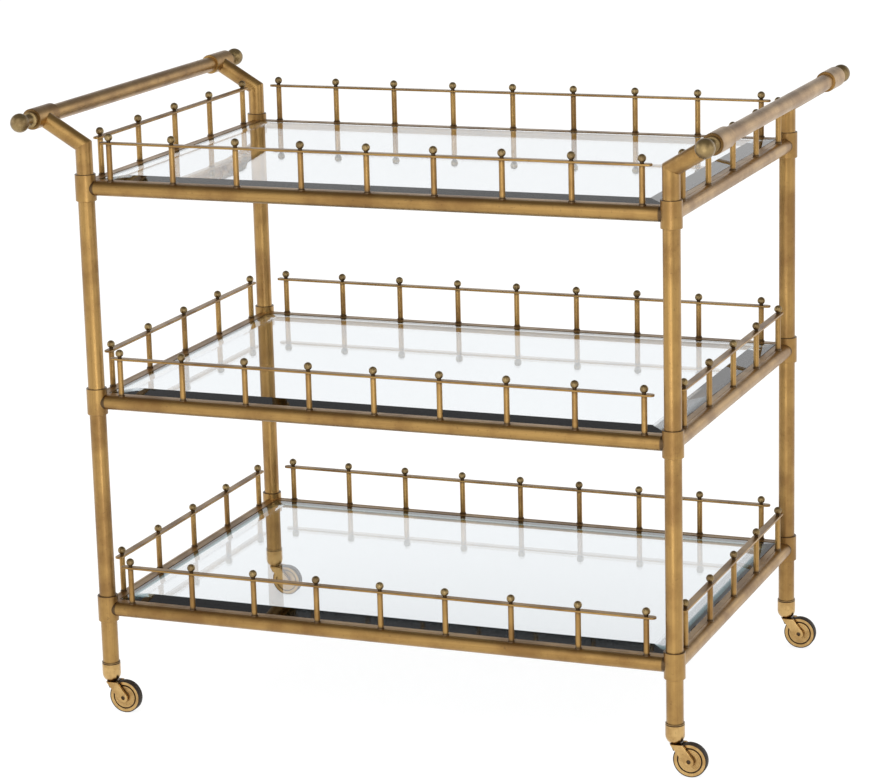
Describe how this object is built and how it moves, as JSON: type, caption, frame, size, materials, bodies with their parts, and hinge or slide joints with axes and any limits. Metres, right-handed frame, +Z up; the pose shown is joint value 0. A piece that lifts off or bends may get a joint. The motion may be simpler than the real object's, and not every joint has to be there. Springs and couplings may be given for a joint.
{
  "type": "dessert trolley",
  "caption": "Serving trolley with beveled glass shelves in a brass tube frame, a gallery rail round each shelf, round end handles and swivel castors.",
  "frame": {"origin": "on the floor, under the middle of the trolley", "axes": "+X along the trolley to the right, +Y to the back, +Z up"},
  "size_m": [1.066, 0.757, 0.931],
  "materials": {
    "brass": "aged satin, mottled brown patina",
    "bright_brass": "satin, brighter than the frame",
    "glass": "polished clear glass with a faint green edge",
    "tyre": "dark smooth rubber"
  },
  "bodies": {
    "frame": {"post_front_left": "brass", "post_front_right": "brass", "post_back_left": "brass", "post_back_right": "brass", "arm_front_left": "brass", "arm_front_right": "brass", "arm_back_left": "brass", "arm_back_right": "brass", "collars_bottom": "brass", "collars_middle": "brass", "collars_top": "brass", "long_rails_bottom": "brass", "long_rails_middle": "brass", "long_rails_top": "brass", "short_rails_bottom": "brass", "short_rails_middle": "brass", "short_rails_top": "brass", "ledge_bottom": "brass", "ledge_middle": "brass", "ledge_top": "brass", "glass_bottom": "glass", "glass_middle": "glass", "glass_top": "glass", "balusters_bottom": "brass", "balusters_middle": "brass", "balusters_top": "brass", "gallery_strips_bottom": "brass", "gallery_strips_middle": "brass", "gallery_strips_top": "brass", "gallery_balls_bottom": "brass", "gallery_balls_middle": "brass", "gallery_balls_top": "brass", "grip_left": "brass", "grip_right": "brass", "sockets_left": "brass", "sockets_right": "brass", "finials_left": "brass", "finials_right": "brass", "castor_cups": "bright_brass", "stem_bushes": "bright_brass"},
    "castor_front_left": {"fork_front_left": "bright_brass", "axle_front_left": "bright_brass"},
    "wheel_front_left": {"wheel_front_left": "bright_brass", "tyre_front_left": "tyre"},
    "castor_front_right": {"fork_front_right": "bright_brass", "axle_front_right": "bright_brass"},
    "wheel_front_right": {"wheel_front_right": "bright_brass", "tyre_front_right": "tyre"},
    "castor_back_left": {"fork_back_left": "bright_brass", "axle_back_left": "bright_brass"},
    "wheel_back_left": {"wheel_back_left": "bright_brass", "tyre_back_left": "tyre"},
    "castor_back_right": {"fork_back_right": "bright_brass", "axle_back_right": "bright_brass"},
    "wheel_back_right": {"wheel_back_right": "bright_brass", "tyre_back_right": "tyre"}
  },
  "joints": [
    {"name": "swivel_front_left", "type": "hinge", "parent": "frame", "child": "castor_front_left", "pos_m": [-0.45, -0.3, 0.04898], "axis": [0, 0, 1], "continuous": true},
    {"name": "roll_front_left", "type": "hinge", "parent": "castor_front_left", "child": "wheel_front_left", "pos_m": [-0.427, -0.3, 0.025], "axis": [0, 1, 0], "continuous": true},
    {"name": "swivel_front_right", "type": "hinge", "parent": "frame", "child": "castor_front_right", "pos_m": [0.45, -0.3, 0.04898], "axis": [0, 0, 1], "continuous": true},
    {"name": "roll_front_right", "type": "hinge", "parent": "castor_front_right", "child": "wheel_front_right", "pos_m": [0.473, -0.3, 0.025], "axis": [0, 1, 0], "continuous": true},
    {"name": "swivel_back_left", "type": "hinge", "parent": "frame", "child": "castor_back_left", "pos_m": [-0.45, 0.3, 0.04898], "axis": [0, 0, 1], "continuous": true},
    {"name": "roll_back_left", "type": "hinge", "parent": "castor_back_left", "child": "wheel_back_left", "pos_m": [-0.427, 0.3, 0.025], "axis": [0, 1, 0], "continuous": true},
    {"name": "swivel_back_right", "type": "hinge", "parent": "frame", "child": "castor_back_right", "pos_m": [0.45, 0.3, 0.04898], "axis": [0, 0, 1], "continuous": true},
    {"name": "roll_back_right", "type": "hinge", "parent": "castor_back_right", "child": "wheel_back_right", "pos_m": [0.473, 0.3, 0.025], "axis": [0, 1, 0], "continuous": true}
  ]
}
